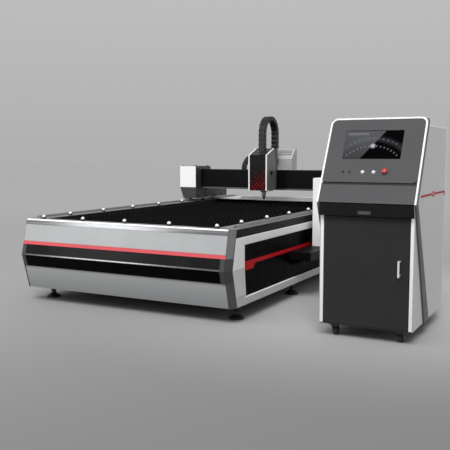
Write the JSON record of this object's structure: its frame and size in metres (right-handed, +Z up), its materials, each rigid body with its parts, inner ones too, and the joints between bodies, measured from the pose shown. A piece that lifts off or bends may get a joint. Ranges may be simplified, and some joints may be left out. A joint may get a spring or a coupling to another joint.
{
  "type": "fiber laser cutting machine",
  "caption": "Open-bed fiber laser cutting machine: toothed slat table, creased front, travelling gantry with cutting head and cable chains, and a separate leaning control console on casters.",
  "frame": {"origin": "on the floor, under the middle of the bed and console taken together", "axes": "+X to the right along the front, +Y from the front to the rear, +Z up"},
  "size_m": [3.945, 4.69, 1.9949],
  "materials": {
    "frame_paint": "satin",
    "slat_steel": "dark oiled",
    "light_panel": "satin",
    "trim_silver": "polished",
    "band_black": "high gloss",
    "dark_grey": "satin",
    "red_paint": "satin",
    "black_panel": "satin",
    "strip_grey": "satin",
    "rim_grey": "satin",
    "rail_steel": "ground",
    "foot_black": "painted",
    "ball_white": "gloss",
    "white_paint": "satin",
    "beam_black": "satin",
    "chain_plastic": "moulded",
    "window_gloss": "high gloss",
    "head_steel": "anodised",
    "nozzle_brass": "turned",
    "console_grey": "fine texture",
    "panel_grey": "satin",
    "screen_glass": "glossy screen",
    "fitting_chrome": "polished",
    "door_black": "fine texture",
    "button_red": "gloss",
    "wheel_rubber": "matte"
  },
  "bodies": {
    "machine": {"frame_tubes": "frame_paint", "frame_posts": "frame_paint", "frame_cross_beams": "frame_paint", "slat_combs": "frame_paint", "cutting_slats": "slat_steel", "scrap_trays": "frame_paint", "front_top_trim": "trim_silver", "front_panels": "light_panel", "front_band": "band_black", "corner_posts": "dark_grey", "red_stripes": "red_paint", "side_frames": "light_panel", "black_panels": "black_panel", "side_strips": "strip_grey", "rim_covers": "rim_grey", "guide_rails": "rail_steel", "rear_cover": "light_panel", "levelling_feet": "foot_black", "loading_balls": "ball_white", "side_shelf": "strip_grey", "side_cabinet": "white_paint", "console_sides": "console_grey", "console_shell": "console_grey", "console_posts": "white_paint", "console_strips": "panel_grey", "panel_frame": "white_paint", "control_panel": "panel_grey", "monitor": "screen_glass", "panel_fittings": "fitting_chrome", "laser_source": "rim_grey"},
    "gantry": {"beam": "beam_black", "beam_guides": "rail_steel", "end_caps": "white_paint", "saddles": "dark_grey", "bearing_blocks": "rail_steel", "drive_motors": "beam_black", "chain_tray": "strip_grey"},
    "carriage": {"carriage": "dark_grey", "carriage_cover": "light_panel", "cable_chains": "chain_plastic", "head_cover": "dark_grey", "head_trims": "white_paint", "head_window": "window_gloss", "head_chain": "chain_plastic"},
    "head": {"cutting_head": "head_steel", "nozzle": "nozzle_brass"},
    "door": {"door": "door_black", "door_handle": "fitting_chrome"},
    "drawer": {"drawer": "door_black"},
    "start_button": {"start_button": "fitting_chrome"},
    "stop_button": {"stop_button": "fitting_chrome"},
    "emergency_button": {"emergency_button": "button_red"},
    "caster_fork_fl": {"caster_fork_fl": "foot_black"},
    "caster_wheel_fl": {"caster_wheel_fl": "wheel_rubber"},
    "caster_fork_fr": {"caster_fork_fr": "foot_black"},
    "caster_wheel_fr": {"caster_wheel_fr": "wheel_rubber"},
    "caster_fork_rl": {"caster_fork_rl": "foot_black"},
    "caster_wheel_rl": {"caster_wheel_rl": "wheel_rubber"},
    "caster_fork_rr": {"caster_fork_rr": "foot_black"},
    "caster_wheel_rr": {"caster_wheel_rr": "wheel_rubber"}
  },
  "joints": [
    {"name": "gantry_slide", "type": "slide", "parent": "machine", "child": "gantry", "axis": [0, 1, 0], "range_m": [-2.8, 0.35]},
    {"name": "carriage_slide", "type": "slide", "parent": "gantry", "child": "carriage", "axis": [1, 0, 0], "range_m": [-0.7, 0.69]},
    {"name": "head_slide", "type": "slide", "parent": "carriage", "child": "head", "axis": [0, 0, 1], "range_m": [-0.075, 0.05], "deforming": ["head_chain"]},
    {"name": "door_hinge", "type": "hinge", "parent": "machine", "child": "door", "pos_m": [1.2348, -2.17, 0.5], "axis": [0, 0, -1], "range_deg": [0, 105]},
    {"name": "drawer_slide", "type": "slide", "parent": "machine", "child": "drawer", "axis": [0, -1, 0], "range_m": [0, 0.35]},
    {"name": "start_press", "type": "slide", "parent": "machine", "child": "start_button", "axis": [0, 0.8829, -0.4695], "range_m": [0, 0.003], "stiffness_N_per_m": 800},
    {"name": "stop_press", "type": "slide", "parent": "machine", "child": "stop_button", "axis": [0, 0.8829, -0.4695], "range_m": [0, 0.003], "stiffness_N_per_m": 800},
    {"name": "emergency_press", "type": "slide", "parent": "machine", "child": "emergency_button", "axis": [0, 0.8829, -0.4695], "range_m": [0, 0.005], "stiffness_N_per_m": 1500},
    {"name": "swivel_fl", "type": "hinge", "parent": "machine", "child": "caster_fork_fl", "pos_m": [1.3025, -2.1, 0.1], "axis": [0, 0, 1], "continuous": true},
    {"name": "wheel_fl", "type": "hinge", "parent": "caster_fork_fl", "child": "caster_wheel_fl", "pos_m": [1.3025, -2.072, 0.037], "axis": [1, 0, 0], "continuous": true},
    {"name": "swivel_fr", "type": "hinge", "parent": "machine", "child": "caster_fork_fr", "pos_m": [1.8425, -2.1, 0.1], "axis": [0, 0, 1], "continuous": true},
    {"name": "wheel_fr", "type": "hinge", "parent": "caster_fork_fr", "child": "caster_wheel_fr", "pos_m": [1.8425, -2.072, 0.037], "axis": [1, 0, 0], "continuous": true},
    {"name": "swivel_rl", "type": "hinge", "parent": "machine", "child": "caster_fork_rl", "pos_m": [1.3025, -1.47, 0.1], "axis": [0, 0, 1], "continuous": true},
    {"name": "wheel_rl", "type": "hinge", "parent": "caster_fork_rl", "child": "caster_wheel_rl", "pos_m": [1.3025, -1.442, 0.037], "axis": [1, 0, 0], "continuous": true},
    {"name": "swivel_rr", "type": "hinge", "parent": "machine", "child": "caster_fork_rr", "pos_m": [1.8425, -1.47, 0.1], "axis": [0, 0, 1], "continuous": true},
    {"name": "wheel_rr", "type": "hinge", "parent": "caster_fork_rr", "child": "caster_wheel_rr", "pos_m": [1.8425, -1.442, 0.037], "axis": [1, 0, 0], "continuous": true}
  ]
}
